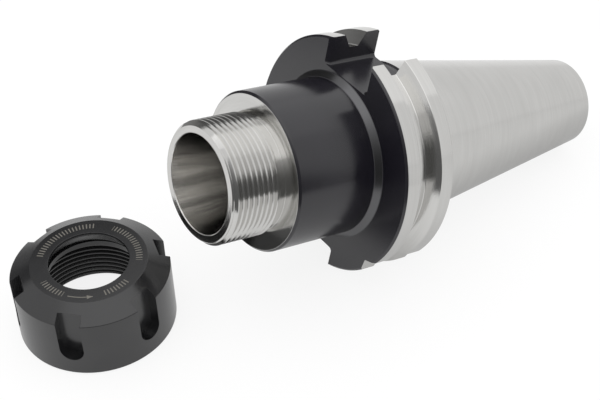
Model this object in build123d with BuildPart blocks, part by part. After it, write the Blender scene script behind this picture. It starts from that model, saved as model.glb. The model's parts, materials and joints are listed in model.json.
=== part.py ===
"""Collet chuck holder, a steep taper tool holder of size 40, with its clamping nut off and beside it.

Millimetres. The bench is z = 0 and +Z is up. +X runs along the bench under the holder's axis,
from the nose to the small end of the taper. The origin is under the middle of the two pieces.
The holder lies as it comes to rest, on both corners of its lower drive slot and on the rim of
its taper. The nut lies on its threaded end.
"""

import os
from math import atan2, cos, radians, sin, sqrt, tan

from build123d import *

# Taper shank, whose rate is on the diameter
taper_rate = 7 / 24
gauge_diameter = 44.45
gauge_to_small_end = 68.4
small_end_chamfer = 1.0

# Flange with its V-groove, and the neck behind it
flange_diameter = 63.55
gauge_to_flange_front = 19.1
gauge_to_flange_rear = 3.2
flange_edge_chamfer = 0.5
gauge_to_groove = 11.1
groove_floor_diameter = 56.25
groove_floor_width = 2.86
groove_angle = 60
neck_undercut = 0.4

# Two drive slots across the flange, of unlike depth, and the notch that tells them apart
drive_slot_width = 16.1
drive_slot_chamfer = 1.0
drive_slot_corner_radius = 1.0
upper_slot_floor = 22.8
lower_slot_floor = 25.0
notch_angle_from_lower_slot = 49
notch_depth = 2.1
notch_included_angle = 120

# Body in front of the flange
body_diameter = 42
flange_front_to_shoulder = 25.1
shoulder_chamfer = 0.6
hub_chamfer = 1.6

# Threaded nose
thread_diameter = 32
thread_pitch = 1.5
nose_length = 15.8
nose_chamfer = 1.1
nose_relief_length = 1.8

# Collet seat and the bores behind it
seat_diameter = 26
seat_half_angle = 8
shank_bore_diameter = 18
shank_bore_depth = 53
coolant_bore_diameter = 12
drill_half_angle = 59

# Drawbar thread in the small end, drilled for a coarse thread of 16
drawbar_thread_diameter = 16
drawbar_thread_pitch = 2
drawbar_thread_length = 36
pilot_diameter = 17
pilot_length = 7
pilot_chamfer = 0.8

# Clamping nut
nut_diameter = 42
nut_height = 20.5
nut_face_diameter = 30.8
nut_cone_height = 3.2
nut_edge_chamfer = 0.5
nut_mouth_diameter = 21.1
nut_mouth_land = 1.0
nut_seat_half_angle = 30
nut_seat_diameter = 25.6
extraction_lip_diameter = 24.4
extraction_lip_offset = 0.5
extraction_lip_thickness = 1.3
collet_clearance_diameter = 26.8
collet_clearance_length = 1.3
thread_runout_length = 2.0
thread_runout_depth = 0.3
thread_entry_depth = 0.9

# Wrench slots round the nut
wrench_slot_count = 6
wrench_slot_width = 6.4
wrench_slot_depth = 3.1
wrench_slot_bottom = 5.2
wrench_slot_spin = 45

# Where the nut lies, from the point under the middle of the flange's front face
nut_ahead_of_flange = 65.7
nut_beside_axis = 15.7

# Depth of the flank of a metric thread, as a share of its pitch
inner_thread_height = 1.0825

# Stations along the holder's axis, from the flange's front face towards the small end
gauge_x = gauge_to_flange_front
flange_rear_x = gauge_x - gauge_to_flange_rear
groove_x = gauge_x - gauge_to_groove
small_end_x = gauge_x + gauge_to_small_end
shoulder_x = -flange_front_to_shoulder
nose_x = shoulder_x - nose_length

# Half widths of the V-groove, at its floor and at its mouth
groove_depth = (flange_diameter - groove_floor_diameter) / 2
groove_half_floor = groove_floor_width / 2
groove_half_mouth = groove_half_floor + groove_depth * tan(radians(groove_angle / 2))


def taper_radius(x):
    """Radius of the taper at a station."""
    return (gauge_diameter - taper_rate * (x - gauge_x)) / 2


# How the holder lies: a line from the slot's corner to the rim of the taper is level
slot_corner_drop = sqrt((flange_diameter / 2) ** 2 - (drive_slot_width / 2) ** 2)
slot_corner_x = flange_rear_x - flange_edge_chamfer
rim_x = small_end_x - small_end_chamfer
rest_tilt = atan2(slot_corner_drop - taper_radius(rim_x), rim_x - slot_corner_x)
flange_height = slot_corner_x * sin(rest_tilt) + slot_corner_drop * cos(rest_tilt)

# The row's box, which sets where the flange and the nut stand
small_face_radius = taper_radius(rim_x) - small_end_chamfer
row_front = small_end_x * cos(rest_tilt) + small_face_radius * sin(rest_tilt)
row_back = -nut_ahead_of_flange - nut_diameter / 2
row_left = nut_beside_axis + nut_diameter / 2
row_right = -flange_diameter / 2
flange_centre = Vector(-(row_front + row_back) / 2, -(row_left + row_right) / 2, flange_height)
nut_centre = Vector(flange_centre.X - nut_ahead_of_flange, flange_centre.Y + nut_beside_axis, 0)

# Heights in the nut: where its seat for the collet ends, and where it begins on the extraction lip
seat_top = nut_height - nut_mouth_land
lip_top = seat_top - (nut_seat_diameter - nut_mouth_diameter) / 2 / tan(radians(nut_seat_half_angle))

# Planes: the holder's section, with x along its axis and y up across it, and the flange's face,
# seen from the nose with y up
axis_direction = Vector(cos(rest_tilt), 0, -sin(rest_tilt))
section_plane = Plane(flange_centre, x_dir=axis_direction, z_dir=(0, -1, 0))
flange_plane = Plane(flange_centre, x_dir=(0, -1, 0), z_dir=-axis_direction)
notch_plane = flange_plane.rotated((0, 0, notch_angle_from_lower_slot))
slot_direction = Axis(flange_centre, section_plane.y_dir)
holder_axis = Axis(flange_centre, axis_direction)
nut_plane = Plane(nut_centre, x_dir=(1, 0, 0), z_dir=(0, -1, 0))
nut_axis = Axis(nut_centre, (0, 0, 1))
lip_plane = Plane(nut_centre + Vector(0, 0, lip_top))


def corner(section, x, y):
    """The corner of a section that lies at a point of its plane."""
    return section.vertices().sort_by_distance(Vector(x, y))[0]


def holder_outline():
    """Half section of the holder's outside, from the nose to the small end."""
    flange = flange_diameter / 2
    floor = groove_floor_diameter / 2
    body = body_diameter / 2
    nose = thread_diameter / 2
    relief = nose - inner_thread_height * thread_pitch / 2
    neck = gauge_diameter / 2 - neck_undercut
    return [
        (nose_x, 0),
        (nose_x, nose),
        (shoulder_x - nose_relief_length, nose),
        (shoulder_x - nose_relief_length, relief),
        (shoulder_x, relief),
        (shoulder_x, body),
        (0, body),
        (0, flange),
        (groove_x - groove_half_mouth, flange),
        (groove_x - groove_half_floor, floor),
        (groove_x + groove_half_floor, floor),
        (groove_x + groove_half_mouth, flange),
        (flange_rear_x, flange),
        (flange_rear_x, neck),
        (gauge_x - neck_undercut, neck),
        (gauge_x, taper_radius(gauge_x)),
        (rim_x, taper_radius(rim_x)),
        (small_end_x, small_face_radius),
        (small_end_x, 0),
    ]


def seat_outline():
    """Half section of the collet seat, the shank bore and the coolant bore."""
    seat = seat_diameter / 2
    bore = shank_bore_diameter / 2
    coolant = coolant_bore_diameter / 2
    seat_end_x = nose_x + (seat - bore) / tan(radians(seat_half_angle))
    bore_end_x = nose_x + shank_bore_depth
    return [
        (nose_x, 0),
        (nose_x, seat),
        (seat_end_x, bore),
        (bore_end_x, bore),
        (bore_end_x + (bore - coolant) / tan(radians(drill_half_angle)), coolant),
        (small_end_x - pilot_length - drawbar_thread_length, coolant),
        (small_end_x - pilot_length - drawbar_thread_length, 0),
    ]


def drawbar_outline():
    """Half section of the tapped hole and its pilot in the small end."""
    tapped = (drawbar_thread_diameter - inner_thread_height * drawbar_thread_pitch) / 2
    pilot = pilot_diameter / 2
    return [
        (small_end_x - pilot_length - drawbar_thread_length, 0),
        (small_end_x - pilot_length - drawbar_thread_length, tapped),
        (small_end_x - pilot_length, tapped),
        (small_end_x - pilot_length, pilot),
        (small_end_x - pilot_chamfer, pilot),
        (small_end_x, pilot + pilot_chamfer),
        (small_end_x, 0),
    ]


def nut_outline():
    """Half section of the nut's outside, from its threaded end up to its face."""
    outside = nut_diameter / 2
    return [
        (0, 0),
        (outside - nut_edge_chamfer, 0),
        (outside, nut_edge_chamfer),
        (outside, nut_height - nut_cone_height),
        (nut_face_diameter / 2, nut_height),
        (0, nut_height),
    ]


def nut_bore_outline():
    """Half section of the nut's inside, with the extraction lip still too narrow."""
    minor = (thread_diameter - inner_thread_height * thread_pitch) / 2
    runout = thread_diameter / 2 + thread_runout_depth
    mouth = nut_mouth_diameter / 2
    seat = nut_seat_diameter / 2
    clearance = collet_clearance_diameter / 2
    lip = extraction_lip_diameter / 2 - 2 * extraction_lip_offset
    lip_base = lip_top - extraction_lip_thickness
    runout_top = lip_base - collet_clearance_length
    runout_base = runout_top - thread_runout_length
    return [
        (0, 0),
        (minor + thread_entry_depth, 0),
        (minor, thread_entry_depth),
        (minor, runout_base),
        (runout, runout_base),
        (runout, runout_top),
        (clearance, runout_top),
        (clearance, lip_base),
        (lip, lip_base),
        (lip, lip_top),
        (seat, lip_top),
        (mouth, seat_top),
        (mouth, nut_height),
        (0, nut_height),
    ]


def wrench_slot_plane(index):
    """Plane on the floor of one wrench slot, facing outwards, with y up."""
    angle = radians(wrench_slot_spin + index * 360 / wrench_slot_count)
    outward = Vector(cos(angle), sin(angle), 0)
    floor = nut_diameter / 2 - wrench_slot_depth
    return Plane(nut_centre + outward * floor, x_dir=(-sin(angle), cos(angle), 0), z_dir=outward)


def on_slot_floor(edge):
    """Whether an edge is one of the long corners on the floor of a drive slot."""
    place = section_plane.to_local_coords(edge.center())
    at_wall = abs(abs(place.Z) - drive_slot_width / 2) < 0.01
    return at_wall and min(abs(place.Y - upper_slot_floor), abs(place.Y + lower_slot_floor)) < 0.01


# Chuck body, turned, milled and ground from one piece
with BuildPart() as chuck_body:
    with BuildSketch(section_plane) as holder_section:
        with BuildLine():
            Polyline(*holder_outline(), close=True)
        make_face()
        chamfer(corner(holder_section, nose_x, thread_diameter / 2), nose_chamfer)
        chamfer(corner(holder_section, shoulder_x, body_diameter / 2), shoulder_chamfer)
        chamfer(corner(holder_section, 0, body_diameter / 2), hub_chamfer)
        chamfer(corner(holder_section, 0, flange_diameter / 2), flange_edge_chamfer)
        chamfer(corner(holder_section, flange_rear_x, flange_diameter / 2), flange_edge_chamfer)
    revolve(axis=holder_axis)

    # Drive slots, one above and one below, with their front edges broken before their floors are rounded
    with BuildSketch(flange_plane.offset(hub_chamfer)):
        slot_reach = flange_diameter / 2 + 1
        for floor, side in ((upper_slot_floor, 1), (lower_slot_floor, -1)):
            slot_height = slot_reach - floor
            with Locations((0, side * (floor + slot_height / 2))):
                Rectangle(drive_slot_width, slot_height)
    extrude(amount=-hub_chamfer - gauge_x, mode=Mode.SUBTRACT)
    wall_edges = chuck_body.edges().filter_by(slot_direction)
    chamfer(wall_edges.filter_by_position(holder_axis, -0.01, 0.01), drive_slot_chamfer)
    floor_edges = chuck_body.edges().filter_by(holder_axis)
    corner_edges = floor_edges.filter_by(on_slot_floor)
    fillet(corner_edges, drive_slot_corner_radius)

    # Notch across the front lip
    with BuildSketch(notch_plane):
        notch_reach = notch_depth + 1
        notch_half_width = notch_reach * tan(radians(notch_included_angle / 2))
        with BuildLine():
            Polyline(
                (0, notch_depth - flange_diameter / 2),
                (notch_half_width, notch_depth - notch_reach - flange_diameter / 2),
                (-notch_half_width, notch_depth - notch_reach - flange_diameter / 2),
                close=True,
            )
        make_face()
    extrude(amount=-groove_x, mode=Mode.SUBTRACT)

    # Bores, from both ends
    with BuildSketch(section_plane):
        with BuildLine():
            Polyline(*seat_outline(), close=True)
        make_face()
        with BuildLine():
            Polyline(*drawbar_outline(), close=True)
        make_face()
    revolve(axis=holder_axis, mode=Mode.SUBTRACT)

# Clamping nut, turned and milled from one piece
with BuildPart() as clamping_nut:
    with BuildSketch(nut_plane):
        with BuildLine():
            Polyline(*nut_outline(), close=True)
        make_face()
    revolve(axis=nut_axis)
    with BuildSketch(nut_plane):
        with BuildLine():
            Polyline(*nut_bore_outline(), close=True)
        make_face()
    revolve(axis=nut_axis, mode=Mode.SUBTRACT)

    # Extraction lip, bored off centre to hook into the collet's groove on one side
    with BuildSketch(lip_plane):
        with Locations((extraction_lip_offset, 0)):
            Circle(extraction_lip_diameter / 2)
    extrude(amount=-extraction_lip_thickness, mode=Mode.SUBTRACT)

    # Wrench slots, open at the face
    with BuildSketch(*[wrench_slot_plane(index) for index in range(wrench_slot_count)]):
        end_centre = wrench_slot_bottom + wrench_slot_width / 2
        straight = nut_height - end_centre
        with Locations((0, end_centre)):
            Circle(wrench_slot_width / 2)
        with Locations((0, end_centre + straight / 2)):
            Rectangle(wrench_slot_width, straight)
    extrude(amount=wrench_slot_depth + 1, mode=Mode.SUBTRACT)

chuck_body.part.label = "chuck_body"
clamping_nut.part.label = "clamping_nut"

os.makedirs("parts", exist_ok=True)
export_step(chuck_body.part, "parts/chuck_body.step")
export_step(clamping_nut.part, "parts/clamping_nut.step")
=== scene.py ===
"""Collet chuck holder with its clamping nut beside it.

Metres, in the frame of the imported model, where the bench is z = 0. Each piece is turned round the
X axis of its own space, cut there, and then laid where the frame's mounts say that it lies.
"""

import json
from math import atan2, cos, pi, radians, sin, tan

import bpy
from mathutils import Matrix, Vector


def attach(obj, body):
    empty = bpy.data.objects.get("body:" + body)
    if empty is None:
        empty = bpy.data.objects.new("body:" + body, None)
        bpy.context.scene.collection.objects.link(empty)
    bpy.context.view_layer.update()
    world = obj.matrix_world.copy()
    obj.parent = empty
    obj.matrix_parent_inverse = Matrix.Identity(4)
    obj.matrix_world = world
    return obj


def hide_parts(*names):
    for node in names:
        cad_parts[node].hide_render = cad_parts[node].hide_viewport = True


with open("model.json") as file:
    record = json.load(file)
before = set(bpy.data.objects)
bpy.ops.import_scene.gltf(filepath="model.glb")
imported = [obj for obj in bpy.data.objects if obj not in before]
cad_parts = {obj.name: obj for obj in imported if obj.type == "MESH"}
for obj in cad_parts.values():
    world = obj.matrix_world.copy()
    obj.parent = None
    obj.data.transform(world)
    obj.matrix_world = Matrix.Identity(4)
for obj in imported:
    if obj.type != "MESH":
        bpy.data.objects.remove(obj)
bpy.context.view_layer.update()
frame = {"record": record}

MM = 0.001

# The frame's own sizes and places
mounts = {mount["name"]: mount for mount in frame["record"]["mounts"]}


def mount_radius(name):
    """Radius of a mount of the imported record."""
    return mounts[name]["dims"]["r_mm"] * MM


def mount_length(name):
    """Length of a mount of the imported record."""
    return mounts[name]["dims"]["length_mm"] * MM


def mount_place(name):
    """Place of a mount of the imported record."""
    return Vector(mounts[name]["pos_m"])


# Sizes of the holder that no mount gives
gauge_to_flange_front = 19.1 * MM
flange_rear_x = 15.9 * MM
flange_radius = 31.773 * MM
flange_edge = 0.5 * MM
groove_x = 8.0 * MM
groove_floor_radius = 28.125 * MM
groove_half_floor = 1.43 * MM
groove_flank = radians(30)
neck_radius = 21.825 * MM
neck_end_x = 18.7 * MM
body_radius = 21 * MM
shoulder_x = -25.1 * MM
shoulder_edge = 0.6 * MM
hub_edge = 1.6 * MM
taper_rate = 7 / 24
small_end_edge = 1.0 * MM
pilot_edge = 0.8 * MM
drive_slot_width = 16.1 * MM
drive_slot_edge = 1.0 * MM
drive_slot_corner = 1.0 * MM
upper_slot_floor = 22.8 * MM
lower_slot_floor = 25.0 * MM
notch_angle = radians(49)
notch_depth = 2.1 * MM
notch_half_angle = radians(60)

# Threads: pitch, and the share of it that the flat of a crest or of a root takes
collet_pitch = 1.5 * MM
drawbar_pitch = 2.0 * MM
crest_share = 1 / 8
root_share = 1 / 4
thread_flank = radians(30)
thread_depth_share = 0.5413

# Sizes of the nut that no mount gives
nut_radius = 20.997 * MM
nut_height = 20.5 * MM
nut_face_radius = 15.4 * MM
nut_cone_base = 17.3 * MM
nut_foot_edge = 0.5 * MM
nut_seat_radius = 12.8 * MM
nut_seat_base = 15.603 * MM
lip_base = 14.303 * MM
lip_radius = 12.2 * MM
lip_offset = 0.5 * MM
clearance_radius = 13.4 * MM
runout_top = 13.003 * MM
runout_radius = 16.3 * MM
entry_edge = 0.9 * MM
wrench_slot_count = 6
wrench_slot_width = 6.4 * MM
wrench_slot_depth = 3.1 * MM
wrench_slot_bottom = 5.2 * MM
wrench_slot_spin = radians(45)

# Marks on the nut's face: scale marks in arcs, of which each has its middle and half its width,
# and an arrow
mark_arcs = (
    (radians(84), radians(42)),
    (radians(182), radians(34)),
    (radians(266), radians(16)),
    (radians(344), radians(16)),
)
mark_step = radians(4)
mark_inner_radius = 12.3 * MM
mark_outer_radius = 14.0 * MM
arrow_middle = radians(308)
arrow_half = radians(14)
arrow_radius = 13.4 * MM
arrow_head = 1.5 * MM
arrow_head_slope = 0.45

# Rounding that the tool leaves on every edge, and how finely round forms are stepped
broken_edge = 0.12 * MM
soft_edge = 0.25 * MM
edge_steps = 3
turn_steps = 256
tap_steps = 96
slot_corner_steps = 6
wrench_slot_end_steps = 16
sharp_from = radians(24)
smooth_up_to = radians(32)
same_point = 0.001 * MM

# Colours of the finishes
steel_dark = (0.61, 0.605, 0.59, 1)
steel_light = (0.71, 0.705, 0.69, 1)
seat_dark = (0.6, 0.59, 0.57, 1)
seat_light = (0.92, 0.91, 0.89, 1)
body_dark = (0.006, 0.0055, 0.0085, 1)
body_light = (0.012, 0.011, 0.016, 1)
worn_metal = (0.13, 0.13, 0.135, 1)
nut_dark = (0.009, 0.009, 0.010, 1)
nut_light = (0.017, 0.017, 0.018, 1)
laser_mark = (0.15, 0.14, 0.12, 1)
oxide_refraction = 1.65

# How deep the lines of the tools look
steel_mark_depth = 0.006 * MM
oxide_mark_depth = 0.0025 * MM

# The studio: how white a reflection shows it, and the circle on which its dark cards stand
white_in_metal = 0.8
bench_glow_to_camera = 0.85
bench_glow_in_metal = 0.8
wall_centre = Vector((-0.02, 0, 0))
wall_radius = 0.2
wall_steps = 24

# The camera at the photograph's place, in metres, degrees and millimetres of lens
camera_place = (-0.16553, -0.24063, 0.27511)
camera_turn = (48.3606, 1.9612, -34.8625)
camera_lens = 85.314
camera_sensor = 36

# Where the holder lies
axis = Vector(mounts["taper_shank"]["axis"])
rest_tilt = atan2(-axis.z, axis.x)
flange_centre = mount_place("taper_shank") - axis * gauge_to_flange_front
holder_space = Matrix.Translation(flange_centre) @ Matrix.Rotation(rest_tilt, 4, "Y")
nut_centre = mount_place("nut_mouth")
nut_centre.z = 0
nut_space = Matrix.Translation(nut_centre) @ Matrix.Rotation(-pi / 2, 4, "Y")


def station(name, end=0):
    """How far a mount, or its end -1 or 1, lies behind the flange's front face."""
    along = (mount_place(name) - flange_centre).dot(axis)
    return along + end * mount_length(name) / 2


nose_x = station("collet_seat")
gauge_x = gauge_to_flange_front
small_end_x = gauge_x + mount_length("taper_shank")
nose_radius = mount_radius("nose_thread")
thread_depth = collet_pitch * thread_depth_share
thread_root = nose_radius - thread_depth
nut_minor = mount_radius("nut_thread")
runout_base = mount_place("nut_thread").z + mount_length("nut_thread") / 2


def taper_radius(x):
    """Radius of the taper at a station."""
    return mount_radius("taper_shank") - taper_rate / 2 * (x - gauge_x)


# Modelling helpers


def alone(piece):
    """Makes a piece the only one that operators act on."""
    bpy.ops.object.select_all(action="DESELECT")
    piece.select_set(True)
    bpy.context.view_layer.objects.active = piece


def edit(piece, action="SELECT"):
    """Opens a piece in edit mode with all or nothing of it selected."""
    alone(piece)
    bpy.ops.object.mode_set(mode="EDIT")
    bpy.ops.mesh.select_mode(type="VERT")
    bpy.ops.mesh.select_all(action=action)


def leave_edit():
    """Closes edit mode."""
    bpy.ops.object.mode_set(mode="OBJECT")


def select_points(piece, test):
    """Selects the vertices that a test picks by their place, in edit mode."""
    leave_edit()
    for polygon in piece.data.polygons:
        polygon.select = False
    for line in piece.data.edges:
        line.select = False
    for vertex in piece.data.vertices:
        vertex.select = test(vertex.co)
    bpy.ops.object.mode_set(mode="EDIT")


def applied(piece, name):
    """Applies a modifier of a piece."""
    alone(piece)
    bpy.ops.object.modifier_apply(modifier=name)


def settle(piece, space=None):
    """Puts a piece's place into its mesh, after moving it into a space if one is given."""
    alone(piece)
    if space is not None:
        piece.matrix_world = space @ piece.matrix_world
    bpy.ops.object.transform_apply(location=True, rotation=True, scale=True)


def face_outwards(piece):
    """Merges doubled points and turns all faces outwards."""
    edit(piece)
    bpy.ops.mesh.remove_doubles(threshold=same_point)
    bpy.ops.mesh.normals_make_consistent(inside=False)
    leave_edit()


def rounded(outline):
    """Points of an outline, with an arc at each corner that gives a radius."""
    points = []
    for index, (x, r, size) in enumerate(outline):
        here = Vector((x, r))
        if not size:
            points.append(here)
            continue
        before = (Vector(outline[index - 1][:2]) - here).normalized()
        after = (Vector(outline[(index + 1) % len(outline)][:2]) - here).normalized()
        half_turn = before.angle(after) / 2
        centre = here + (before + after).normalized() * size / sin(half_turn)
        first = (here + before * size / tan(half_turn) - centre).normalized()
        last = (here + after * size / tan(half_turn) - centre).normalized()
        arc = (first.slerp(last, step / edge_steps) for step in range(edge_steps + 1))
        points += [centre + spoke * size for spoke in arc]
    return points


def turned(name, outline):
    """A closed ring round the X axis, pulled circle by circle along its outline."""
    points = rounded(outline)
    x, r = points[0]
    bpy.ops.mesh.primitive_circle_add(
        vertices=turn_steps, radius=r, location=(x, 0, 0), rotation=(0, pi / 2, 0)
    )
    piece = bpy.context.object
    piece.name = name
    settle(piece)
    edit(piece)
    for (x, r), (next_x, next_r) in zip(points, points[1:] + points[:1]):
        bpy.ops.mesh.extrude_edges_move(TRANSFORM_OT_translate={"value": (next_x - x, 0, 0)})
        grow = next_r / r
        bpy.ops.transform.resize(value=(1, grow, grow), center_override=(0, 0, 0))
    leave_edit()
    face_outwards(piece)
    return piece


def cut(piece, cutter):
    """Takes the cutter's shape out of a piece."""
    step = piece.modifiers.new("cut", "BOOLEAN")
    step.operation = "DIFFERENCE"
    step.solver = "EXACT"
    step.object = cutter
    applied(piece, "cut")
    bpy.data.objects.remove(cutter)


def helix_cutter(root, mouth, root_width, pitch, steps, first_x, last_x):
    """A ridge wound round the X axis, right-handed, that cuts the groove of a thread."""
    mouth_width = root_width + 2 * abs(mouth - root) * tan(thread_flank)
    bpy.ops.mesh.primitive_plane_add(size=1, rotation=(pi / 2, 0, 0))
    cutter = bpy.context.object
    settle(cutter)
    edit(cutter)
    bpy.ops.transform.resize(value=(mouth_width, 1, abs(mouth - root)))
    bpy.ops.transform.translate(value=(first_x, 0, (mouth + root) / 2))
    select_points(cutter, lambda point: abs(point.z - root) < abs(mouth - root) / 2)
    narrowed = (root_width / mouth_width, 1, 1)
    bpy.ops.transform.resize(value=narrowed, center_override=(first_x, 0, 0))
    leave_edit()
    turns = cutter.modifiers.new("turns", "SCREW")
    turns.axis = "X"
    turns.steps = steps
    turns.render_steps = steps
    turns.screw_offset = pitch
    turns.iterations = round((last_x - first_x) / pitch)
    applied(cutter, "turns")
    edit(cutter, "DESELECT")
    bpy.ops.mesh.select_non_manifold()
    bpy.ops.mesh.fill_holes(sides=4)
    leave_edit()
    face_outwards(cutter)
    return cutter


def trough(width, depth, corner, corner_steps):
    """An upright face across the X axis, with its floor on Y and round corners at its floor."""
    bpy.ops.mesh.primitive_plane_add(size=1, rotation=(0, pi / 2, 0))
    cutter = bpy.context.object
    settle(cutter)
    edit(cutter)
    bpy.ops.transform.resize(value=(1, width, depth))
    bpy.ops.transform.translate(value=(0, 0, depth / 2))
    select_points(cutter, lambda point: point.z < depth / 2)
    bpy.ops.mesh.bevel(offset=corner, segments=corner_steps, affect="VERTICES")
    bpy.ops.mesh.select_all(action="SELECT")
    bpy.ops.mesh.remove_doubles(threshold=same_point)
    leave_edit()
    return cutter


def pull(cutter, move, grow=(1, 1, 1)):
    """Extrudes the open end of a cutter, and widens that end."""
    bpy.ops.mesh.extrude_region_move(TRANSFORM_OT_translate={"value": move})
    bpy.ops.transform.resize(value=grow, center_override=(0, 0, 0))


def drive_slot_cutter(floor, side):
    """What a drive slot takes out of the flange, with its front edges broken."""
    depth = flange_radius + MM - floor
    cutter = trough(drive_slot_width, depth, drive_slot_corner, slot_corner_steps)
    turn = Matrix.Rotation(0 if side > 0 else pi, 4, "X")
    settle(cutter, turn @ Matrix.Translation((gauge_x, 0, floor)))
    edit(cutter)
    widened = 1 + 2 * drive_slot_edge / drive_slot_width
    pull(cutter, (drive_slot_edge - gauge_x, 0, 0))
    pull(cutter, (-drive_slot_edge, 0, 0), (1, widened, 1))
    pull(cutter, (-hub_edge, 0, 0))
    leave_edit()
    face_outwards(cutter)
    return cutter


def notch_cutter():
    """What the notch takes out of both lips of the flange."""
    reach = notch_depth + MM
    length = 2 * (flange_rear_x + MM)
    bpy.ops.mesh.primitive_cube_add(size=1, rotation=(pi / 4, 0, 0))
    cutter = bpy.context.object
    settle(cutter)
    edit(cutter)
    diagonal = reach * 2 ** 0.5
    bpy.ops.transform.resize(value=(length, diagonal * tan(notch_half_angle), diagonal))
    bpy.ops.transform.translate(value=(0, 0, notch_depth - flange_radius - reach))
    leave_edit()
    settle(cutter, Matrix.Rotation(-notch_angle, 4, "X"))
    face_outwards(cutter)
    return cutter


def wrench_slot_cutter(index):
    """What one wrench slot takes out of the nut, from its floor outwards and open at the face."""
    depth = nut_height + MM - wrench_slot_bottom
    cutter = trough(wrench_slot_width, depth, wrench_slot_width / 2, wrench_slot_end_steps)
    upright = Matrix.Rotation(pi / 2, 4, "Y")
    floor = Matrix.Translation((wrench_slot_bottom, 0, wrench_slot_depth - nut_radius))
    settle(cutter, floor @ upright)
    edit(cutter)
    pull(cutter, (0, 0, -wrench_slot_depth - MM))
    leave_edit()
    turn = wrench_slot_spin + index * 2 * pi / wrench_slot_count
    settle(cutter, Matrix.Rotation(turn, 4, "X"))
    face_outwards(cutter)
    return cutter


def break_edges(piece, size, test):
    """Bevels the sharp edges that a test picks by the place of both their ends."""
    edit(piece, "DESELECT")
    bpy.ops.mesh.select_mode(type="EDGE")
    bpy.ops.mesh.edges_select_sharp(sharpness=sharp_from)
    leave_edit()
    for line in piece.data.edges:
        ends = (piece.data.vertices[index].co for index in line.vertices)
        line.select = line.select and all(test(end) for end in ends)
    bpy.ops.object.mode_set(mode="EDIT")
    bpy.ops.mesh.bevel(offset=size, segments=2, affect="EDGES", clamp_overlap=True)
    leave_edit()
    face_outwards(piece)


# The two pieces


def holder_outline():
    """Outline of the holder, from its seat round the outside and back through its bores."""
    groove_depth = flange_radius - groove_floor_radius
    groove_half_mouth = groove_half_floor + groove_depth * tan(groove_flank)
    thread_end_x = station("nose_thread", 1)
    rim_x = small_end_x - small_end_edge
    rim_radius = taper_radius(rim_x)
    pilot = mount_radius("drawbar_pilot")
    pilot_end_x = station("drawbar_pilot", 1)
    pilot_start_x = station("drawbar_thread", 1)
    tap = mount_radius("drawbar_thread")
    coolant = mount_radius("coolant_bore")
    bore = mount_radius("shank_bore")
    return [
        (nose_x, mount_radius("collet_seat"), soft_edge),
        (nose_x, nose_radius + nose_x - station("nose_thread", -1), broken_edge),
        (station("nose_thread", -1), nose_radius, 0),
        (thread_end_x, nose_radius, 0),
        (thread_end_x, thread_root, broken_edge),
        (shoulder_x, thread_root, broken_edge),
        (shoulder_x, body_radius - shoulder_edge, broken_edge),
        (shoulder_x + shoulder_edge, body_radius, broken_edge),
        (-hub_edge, body_radius, broken_edge),
        (0, body_radius + hub_edge, broken_edge),
        (0, flange_radius - flange_edge, broken_edge),
        (flange_edge, flange_radius, broken_edge),
        (groove_x - groove_half_mouth, flange_radius, soft_edge),
        (groove_x - groove_half_floor, groove_floor_radius, soft_edge),
        (groove_x + groove_half_floor, groove_floor_radius, soft_edge),
        (groove_x + groove_half_mouth, flange_radius, soft_edge),
        (flange_rear_x - flange_edge, flange_radius, broken_edge),
        (flange_rear_x, flange_radius - flange_edge, broken_edge),
        (flange_rear_x, neck_radius, soft_edge),
        (neck_end_x, neck_radius, 0),
        (gauge_x, mount_radius("taper_shank"), broken_edge),
        (rim_x, rim_radius, broken_edge),
        (small_end_x, rim_radius - small_end_edge, broken_edge),
        (small_end_x, pilot + pilot_edge, broken_edge),
        (pilot_end_x, pilot, broken_edge),
        (pilot_start_x, pilot, broken_edge),
        (pilot_start_x, tap, 0),
        (station("drawbar_thread", -1), tap, 0),
        (station("drawbar_thread", -1), coolant, 0),
        (station("coolant_bore", -1), coolant, 0),
        (station("shank_bore", 1), bore, 0),
        (station("shank_bore", -1), bore, 0),
    ]


def make_holder():
    """The chuck body with its drive slots, its notch and the turns of both threads."""
    piece = turned("chuck_body_threaded", holder_outline())
    cut(piece, drive_slot_cutter(upper_slot_floor, 1))
    cut(piece, drive_slot_cutter(lower_slot_floor, -1))
    cut(piece, notch_cutter())
    clear = 0.15 * MM
    cut(piece, helix_cutter(
        root=thread_root,
        mouth=nose_radius + clear,
        root_width=root_share * collet_pitch,
        pitch=collet_pitch,
        steps=turn_steps,
        first_x=nose_x - 2 * collet_pitch,
        last_x=shoulder_x - 0.5 * collet_pitch,
    ))
    tap = mount_radius("drawbar_thread")
    cut(piece, helix_cutter(
        root=tap + drawbar_pitch * thread_depth_share,
        mouth=tap - clear,
        root_width=crest_share * drawbar_pitch,
        pitch=drawbar_pitch,
        steps=tap_steps,
        first_x=station("drawbar_thread", -1) + drawbar_pitch,
        last_x=station("drawbar_thread", 1) + drawbar_pitch,
    ))
    return piece


def nut_outline():
    """Outline of the nut, from the foot of its thread up through its bore and down its outside."""
    mouth = mount_radius("nut_mouth")
    seat_top = nut_height - mount_length("nut_mouth")
    return [
        (0, nut_minor + entry_edge, broken_edge),
        (entry_edge, nut_minor, 0),
        (runout_base, nut_minor, 0),
        (runout_base, runout_radius, 0),
        (runout_top, runout_radius, 0),
        (runout_top, clearance_radius, broken_edge),
        (lip_base, clearance_radius, 0),
        (lip_base, lip_radius - 2 * lip_offset, 0),
        (nut_seat_base, lip_radius - 2 * lip_offset, 0),
        (nut_seat_base, nut_seat_radius, 0),
        (seat_top, mouth, broken_edge),
        (nut_height, mouth, broken_edge),
        (nut_height, nut_face_radius, soft_edge),
        (nut_cone_base, nut_radius, soft_edge),
        (nut_foot_edge, nut_radius, broken_edge),
        (0, nut_radius - nut_foot_edge, broken_edge),
    ]


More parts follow.
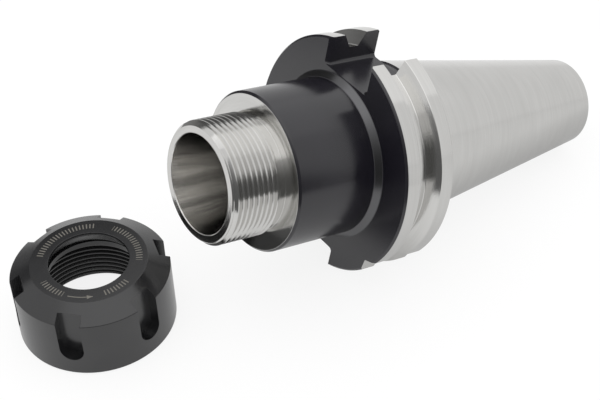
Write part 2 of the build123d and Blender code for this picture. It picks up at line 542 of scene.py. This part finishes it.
def lip_cutter():
    """What boring the extraction lip off centre takes out of the nut."""
    seat_room = 0.08 * MM
    low = (runout_top + lip_base) / 2
    high = nut_seat_base + seat_room
    bpy.ops.mesh.primitive_cylinder_add(
        vertices=turn_steps, radius=lip_radius, depth=high - low,
        location=((low + high) / 2, 0, -lip_offset), rotation=(0, pi / 2, 0)
    )
    cutter = bpy.context.object
    settle(cutter)
    return cutter


def is_slot_rim(point):
    """Whether a point of the nut lies on the outer rim of a wrench slot."""
    spread = (point.y ** 2 + point.z ** 2) ** 0.5
    outside = spread > nut_radius - wrench_slot_depth + 0.4 * MM
    return outside and point.x > wrench_slot_bottom - 0.1 * MM


def make_nut():
    """The clamping nut with its wrench slots, its extraction lip and the turns of its thread."""
    piece = turned("clamping_nut_threaded", nut_outline())
    cut(piece, lip_cutter())
    for index in range(wrench_slot_count):
        cut(piece, wrench_slot_cutter(index))
    break_edges(piece, broken_edge, is_slot_rim)
    clear = 0.12 * MM
    cut(piece, helix_cutter(
        root=nut_minor + thread_depth,
        mouth=nut_minor - clear,
        root_width=crest_share * collet_pitch,
        pitch=collet_pitch,
        steps=turn_steps,
        first_x=-1.5 * collet_pitch,
        last_x=runout_base + 0.5 * collet_pitch,
    ))
    return piece


def finish_mesh(piece, space):
    """Lays a piece in its place and shades it smooth up to its sharp edges."""
    settle(piece, space)
    alone(piece)
    bpy.ops.object.shade_smooth_by_angle(angle=smooth_up_to)
    weighted = piece.modifiers.new("weighted", "WEIGHTED_NORMAL")
    weighted.keep_sharp = True
    applied(piece, "weighted")


# Finishes


class Signal:
    """A shader value that plain expressions can be written with."""

    def __init__(self, finish, socket):
        self.finish = finish
        self.socket = socket

    def math(self, operation, *others):
        """A Math node on this value and others."""
        sockets = dict(enumerate([self, *others]))
        return self.finish.node("ShaderNodeMath", {"operation": operation}, sockets)

    def __add__(self, other):
        return self.math("ADD", other)

    def __sub__(self, other):
        return self.math("SUBTRACT", other)

    def __rsub__(self, other):
        return self.math("MULTIPLY", -1).math("ADD", other)

    def __mul__(self, other):
        return self.math("MULTIPLY", other)

    def __truediv__(self, other):
        return self.math("DIVIDE", other)

    __radd__ = __add__
    __rmul__ = __mul__


class Finish:
    """A material, and the one way in which its nodes are made."""

    def __init__(self, name):
        self.material = bpy.data.materials.new(name)
        self.material.use_nodes = True
        self.tree = self.material.node_tree
        self.tree.nodes.clear()

    def node(self, kind, settings, sockets, output=0):
        """A node with its settings, and the values or links of its sockets."""
        node = self.tree.nodes.new(kind)
        for name, value in settings.items():
            setattr(node, name, value)
        for name, value in sockets.items():
            if isinstance(value, Signal):
                self.tree.links.new(value.socket, node.inputs[name])
            else:
                node.inputs[name].default_value = value
        return Signal(self, node.outputs[output]) if len(node.outputs) else None

    def step(self, value, low, high):
        """A soft step of a value, from 0 at low to 1 at high."""
        settings = {"interpolation_type": "SMOOTHSTEP"}
        sockets = {"Value": value, "From Min": low, "From Max": high}
        return self.node("ShaderNodeMapRange", settings, sockets)

    def band(self, value, low, high, soft):
        """A soft mask that is 1 where a value lies between two bounds."""
        over = self.step(value, high - soft, high + soft)
        return self.step(value, low - soft, low + soft) * (1 - over)

    def noise(self, vector, scale, detail=2, roughness=0.5):
        """Noise about zero, from -0.5 to 0.5."""
        sockets = {"Vector": vector, "Scale": scale, "Detail": detail, "Roughness": roughness}
        return self.node("ShaderNodeTexNoise", {"noise_dimensions": "3D"}, sockets) - 0.5

    def vector(self, x, y, z):
        """Three values as one vector."""
        return self.node("ShaderNodeCombineXYZ", {}, {"X": x, "Y": y, "Z": z})

    def mix(self, factor, first, second):
        """Two colours mixed by a factor."""
        sockets = {"Factor": factor, 6: first, 7: second}
        return self.node("ShaderNodeMix", {"data_type": "RGBA"}, sockets, 2)

    def place(self):
        """The object's own coordinates."""
        return self.node("ShaderNodeTexCoord", {}, {}, 3)

    def part(self, vector, index):
        """One of the three values of a vector."""
        return self.node("ShaderNodeSeparateXYZ", {}, {"Vector": vector}, index)

    def lathe(self, centre, turn):
        """Distance along a piece's axis, radius, and angle round the axis."""
        sockets = {"Vector": self.place(), "Location": centre, "Rotation": (0, turn, 0)}
        own = self.node("ShaderNodeMapping", {"vector_type": "TEXTURE"}, sockets)
        along, side, up = (self.part(own, index) for index in range(3))
        spread = (side * side + up * up).math("SQRT")
        return along, spread, side.math("ARCTAN2", up)

    def done(self, bump_height, distance, sockets):
        """Ends the tree in a Principled shader whose normal follows a height in metres."""
        relief = {"Strength": 1, "Distance": distance, "Height": bump_height}
        bump = self.node("ShaderNodeBump", {}, relief)
        shader = self.node("ShaderNodeBsdfPrincipled", {}, {"Normal": bump, **sockets})
        self.node("ShaderNodeOutputMaterial", {}, {"Surface": shader})
        return self.material

    def tool_marks(self, along, spread, angle, pitch):
        """Fine lines that a turning tool or a wheel leaves round a piece, about zero."""
        across = (along + spread) / pitch
        fine = self.noise(self.vector(across, angle * 0.6, 0), 1.0, 3, 0.6)
        coarse = self.noise(self.vector(across * 0.17, angle * 1.4, 4), 1.0, 2)
        return fine + coarse * 0.7


def steel_finish():
    """Bright steel, ground or fine turned round the holder's axis."""
    finish = Finish("ground_steel")
    along, spread, angle = finish.lathe(flange_centre, rest_tilt)
    lines = finish.tool_marks(along, spread, angle, 0.3 * MM)
    grain = finish.tool_marks(along, spread, angle, 0.07 * MM)
    patch = finish.noise(finish.vector(along / (14 * MM), angle * 0.8, spread / (14 * MM)), 1.0, 2)
    tone = finish.step(lines + patch * 0.6, -0.7, 0.7)
    colour = finish.mix(tone, steel_dark, steel_light)
    seat_edge = mount_radius("collet_seat")
    inside = 1 - finish.step(spread, seat_edge, seat_edge + 0.2 * MM)
    seat = inside * (1 - finish.step(along, -MM, 0))
    streaks = finish.noise(finish.vector(along / (30 * MM), angle * 9, 2), 1.0, 3, 0.6)
    ground = finish.mix(finish.step(streaks, -0.3, 0.3), seat_dark, seat_light)
    colour = finish.mix(seat, colour, ground)
    rough = 0.11 + lines * 0.06 + patch * 0.04
    sockets = {"Base Color": colour, "Metallic": 1.0, "Roughness": rough}
    return finish.done(grain * (seat * 2 + 1), steel_mark_depth, sockets)


def black_oxide(finish, along, spread, angle, dark, light):
    """Tool marks, colour and roughness of satin black oxide over turned steel."""
    marks = finish.tool_marks(along, spread, angle, 0.2 * MM)
    cloud = finish.noise(finish.vector(along / (9 * MM), angle * 1.1, spread / (9 * MM)), 1.0, 3)
    tone = finish.step(cloud + marks * 0.3, -0.5, 0.5)
    colour = finish.mix(tone, dark, light)
    rough = 0.22 + cloud * 0.07 + marks * 0.05
    return marks, colour, rough


def body_finish():
    """The holder's black oxide, worn to bare metal on the cone that leads up to the flange, and
    also laid as painted shade on the neck behind the drive slots.
    """
    finish = Finish("black_oxide_and_painted_shade")
    along, spread, angle = finish.lathe(flange_centre, rest_tilt)
    marks, colour, rough = black_oxide(finish, along, spread, angle, body_dark, body_light)
    soft = 0.1 * MM
    worn = finish.band(along, -hub_edge - soft, -soft, soft)
    worn = worn * finish.band(spread, body_radius + soft, body_radius + hub_edge - soft, soft)
    colour = finish.mix(worn, colour, worn_metal)
    sockets = {"Base Color": colour, "Metallic": worn, "Roughness": rough, "IOR": oxide_refraction}
    return finish.done(marks, oxide_mark_depth, sockets)


def nut_finish():
    """The nut's black oxide, with the lasered marks on its face."""
    finish = Finish("black_oxide_steel")
    along, spread, angle = finish.lathe(nut_centre, -pi / 2)
    marks, colour, rough = black_oxide(finish, along, spread, angle, nut_dark, nut_light)
    ink = face_marks(finish, along, spread, angle)
    colour = finish.mix(ink, colour, laser_mark)
    rough = rough + ink * 0.2
    sockets = {"Base Color": colour, "Metallic": 0.0, "Roughness": rough, "IOR": oxide_refraction}
    return finish.done(marks, oxide_mark_depth, sockets)


def arc(finish, angle, middle, half):
    """A mask that is 1 within an arc of the nut's face, given by its middle and half its width."""
    soft = radians(0.4)
    off = (angle - middle).math("WRAP", pi, -pi).math("ABSOLUTE")
    return 1 - finish.step(off, half - soft, half + soft)


def scale_marks(finish, spread, angle):
    """A mask of short radial strokes in arcs, where a maker puts words."""
    nearest = (angle / mark_step).math("ROUND") * mark_step
    beside = (angle - nearest).math("ABSOLUTE") * spread
    stroke = 1 - finish.step(beside, 0.12 * MM, 0.2 * MM)
    ring = finish.band(spread, mark_inner_radius, mark_outer_radius, 0.06 * MM)
    arcs = 0
    for middle, half in mark_arcs:
        arcs = arc(finish, angle, middle, half) + arcs
    return stroke * ring * arcs


def arrow(finish, spread, angle):
    """A mask of a plain arrow along an arc, with its head at the arc's start."""
    off_line = (spread - arrow_radius).math("ABSOLUTE")
    shaft = 1 - finish.step(off_line, 0.1 * MM, 0.18 * MM)
    shaft = shaft * arc(finish, angle, arrow_middle, arrow_half)
    past_tip = (angle - (arrow_middle - arrow_half)).math("WRAP", pi, -pi) * spread
    head = 1 - finish.step(off_line - past_tip * arrow_head_slope, -0.05 * MM, 0.05 * MM)
    head = head * finish.band(past_tip, 0, arrow_head, 0.05 * MM)
    return shaft.math("MAXIMUM", head)


def face_marks(finish, along, spread, angle):
    """Everything that is lasered on the face of the nut."""
    on_face = finish.step(along, nut_height - 0.05 * MM, nut_height - 0.02 * MM)
    return on_face * (scale_marks(finish, spread, angle) + arrow(finish, spread, angle))


# Where the black finish lies on the holder, and where it is laid on the neck as painted shade


def is_black(face):
    """Whether a face of the holder, in its own space, keeps the black finish, or takes it as
    painted shade on the neck behind the drive slots.
    """
    x, y, z = face.center
    spread = (y * y + z * z) ** 0.5
    edge = 0.06 * MM
    steep = abs(face.normal.y * z - face.normal.z * y) > 0.3 * spread
    slot_floor = upper_slot_floor if z > 0 else lower_slot_floor
    beside_slot = abs(y) < drive_slot_width / 2 + 0.02 * MM
    body = shoulder_x + edge < x < -edge and spread > thread_root + MM
    front = -edge < x < flange_edge + edge and spread > nose_radius
    in_slot = x > 0 and beside_slot and spread > body_radius + hub_edge
    at_floor = -edge < abs(z) - slot_floor < drive_slot_corner + edge
    broken = 0 <= x < drive_slot_edge + edge and steep
    behind_slot = abs(y) < drive_slot_width / 2 and flange_rear_x - edge < x < gauge_x + edge
    # painted shade: the steel neck, seen deep down behind a drive slot, takes the black finish so
    # that it looks as dark as shade there
    shaded_neck = behind_slot and spread < upper_slot_floor
    slot = in_slot and (steep or at_floor)
    return body or front or slot or broken or shaded_neck


def paint(piece, finishes, pick):
    """Gives a piece its finishes, of which pick says by number which one a face has."""
    piece.data.materials.clear()
    for finish in finishes:
        piece.data.materials.append(finish)
    for face in piece.data.polygons:
        face.material_index = int(pick(face))


# Studio


def panel(name, place, size, glow):
    """A soft area lamp that points at the holder, as bright as a white card that glows."""
    bpy.ops.object.light_add(type="AREA", location=place)
    light = bpy.context.object
    light.name = name
    light.rotation_euler = (wall_centre - Vector(place)).to_track_quat("-Z", "Y").to_euler()
    light.data.shape = "RECTANGLE"
    light.data.size, light.data.size_y = size
    light.data.energy = glow * pi * size[0] * size[1]


def dark_wall(name, first, last, height, low, high, fade_from):
    """A dark card that only reflections show, bent round the bench between two angles in degrees.

    Its shade goes from low at its foot to high at its top, and it clears from fade_from upwards.
    """
    first, last = radians(first), radians(last)
    start = Vector((wall_radius * cos(first), wall_radius * sin(first), 0))
    bpy.ops.mesh.primitive_plane_add(size=1, location=(0, 0, 0), rotation=(pi / 2, 0, 0))
    board = bpy.context.object
    board.name = name
    settle(board)
    edit(board)
    bpy.ops.mesh.merge(type="CENTER")
    bpy.ops.transform.translate(value=start)
    bpy.ops.mesh.extrude_vertices_move(TRANSFORM_OT_translate={"value": (0, 0, height)})
    bpy.ops.mesh.select_all(action="SELECT")
    bpy.ops.mesh.spin(steps=wall_steps, angle=first - last, center=(0, 0, 0), axis=(0, 0, 1))
    bpy.ops.mesh.select_all(action="SELECT")
    bpy.ops.transform.translate(value=wall_centre)
    leave_edit()
    board.visible_camera = False
    board.visible_diffuse = False
    board.visible_shadow = False
    finish = Finish(name)
    level = finish.part(finish.place(), 2)
    shade = finish.step(level, 0, height) * (high - low) + low
    glow = finish.node("ShaderNodeEmission", {}, {"Color": (1, 1, 1, 1), "Strength": shade})
    clear = finish.node("ShaderNodeBsdfTransparent", {}, {})
    cleared = finish.step(level, fade_from, height)
    both = finish.node("ShaderNodeMixShader", {}, {0: cleared, 1: glow, 2: clear})
    finish.node("ShaderNodeOutputMaterial", {}, {"Surface": both})
    board.data.materials.append(finish.material)


def by_ray(finish, to_camera, in_metal):
    """A value that the camera sees, another that metal and glass show, and 0 for other rays."""
    camera, glossy, through = (
        finish.node("ShaderNodeLightPath", {}, {}, index) for index in (0, 3, 6)
    )
    return (camera * to_camera).math("MAXIMUM", glossy.math("MAXIMUM", through) * in_metal)


def make_bench():
    """The white bench, with a soft shadow, and shaded beside the taper where metal shows it."""
    bpy.ops.mesh.primitive_plane_add(size=12, location=(0, 0, 0))
    bench = bpy.context.object
    bench.name = "bench"
    finish = Finish("bench_white")
    plain = finish.node("ShaderNodeBsdfDiffuse", {}, {"Color": (0.98, 0.98, 0.98, 1)})
    along, across = (finish.part(finish.place(), index) for index in (0, 1))
    beside_taper = finish.step(along, -0.03, 0.01) * (1 - finish.step(across, 0.02, 0.06))
    close = 1 - finish.step(across.math("ABSOLUTE"), 0, 0.06)
    shade = beside_taper * (close * 0.34 + 0.14)
    level = by_ray(finish, 1.0, (1 - shade) * white_in_metal)
    glow = finish.node("ShaderNodeEmission", {}, {"Color": (1, 1, 1, 1), "Strength": level})
    share = by_ray(finish, bench_glow_to_camera, bench_glow_in_metal)
    both = finish.node("ShaderNodeMixShader", {}, {0: share, 1: plain, 2: glow})
    finish.node("ShaderNodeOutputMaterial", {}, {"Surface": both})
    bench.data.materials.append(finish.material)


def make_world():
    """White round the bench, a little lower where a reflection shows it."""
    world = bpy.data.worlds.new("studio")
    bpy.context.scene.world = world
    world.use_nodes = True
    tree = world.node_tree
    tree.nodes.clear()
    path = tree.nodes.new("ShaderNodeLightPath")
    mirrored = tree.nodes.new("ShaderNodeMath")
    mirrored.operation = "MAXIMUM"
    tree.links.new(path.outputs["Is Glossy Ray"], mirrored.inputs[0])
    tree.links.new(path.outputs["Is Transmission Ray"], mirrored.inputs[1])
    level = tree.nodes.new("ShaderNodeMapRange")
    tree.links.new(mirrored.outputs[0], level.inputs["Value"])
    level.inputs["To Min"].default_value = 1.0
    level.inputs["To Max"].default_value = white_in_metal
    back = tree.nodes.new("ShaderNodeBackground")
    back.inputs["Color"].default_value = (1, 1, 1, 1)
    tree.links.new(level.outputs[0], back.inputs["Strength"])
    out = tree.nodes.new("ShaderNodeOutputWorld")
    tree.links.new(back.outputs[0], out.inputs[0])


def make_camera():
    """The camera that sees what the photograph shows."""
    turn = [radians(angle) for angle in camera_turn]
    bpy.ops.object.camera_add(location=camera_place, rotation=turn)
    camera = bpy.context.object
    camera.data.lens = camera_lens
    camera.data.sensor_width = camera_sensor
    camera.data.clip_start = 0.01
    bpy.context.scene.camera = camera


holder = make_holder()
paint(holder, [steel_finish(), body_finish()], is_black)
finish_mesh(holder, holder_space)
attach(holder, "chuck_body")
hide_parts("chuck_body")

nut = make_nut()
paint(nut, [nut_finish()], lambda face: 0)
finish_mesh(nut, nut_space)
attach(nut, "clamping_nut")
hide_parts("clamping_nut")

make_bench()
make_world()
panel("window", place=(0.41, 0.09, 0.38), size=(0.5, 0.32), glow=0.16)
panel("overhead", place=(0, 0, 0.6), size=(0.8, 0.8), glow=0.5)
dark_wall("dark_side", 72, 92, height=0.23, low=0.08, high=0.08, fade_from=0.2)
dark_wall("dark_behind", 92, 117, height=0.21, low=0.25, high=0.08, fade_from=0.18)
dark_wall("dark_corner", 117, 131, height=0.15, low=0.12, high=0.08, fade_from=0.13)
dark_wall("dark_camera", 186, 304, height=0.36, low=0.12, high=0.12, fade_from=0.08)
make_camera()
bpy.context.scene.view_settings.view_transform = "Standard"
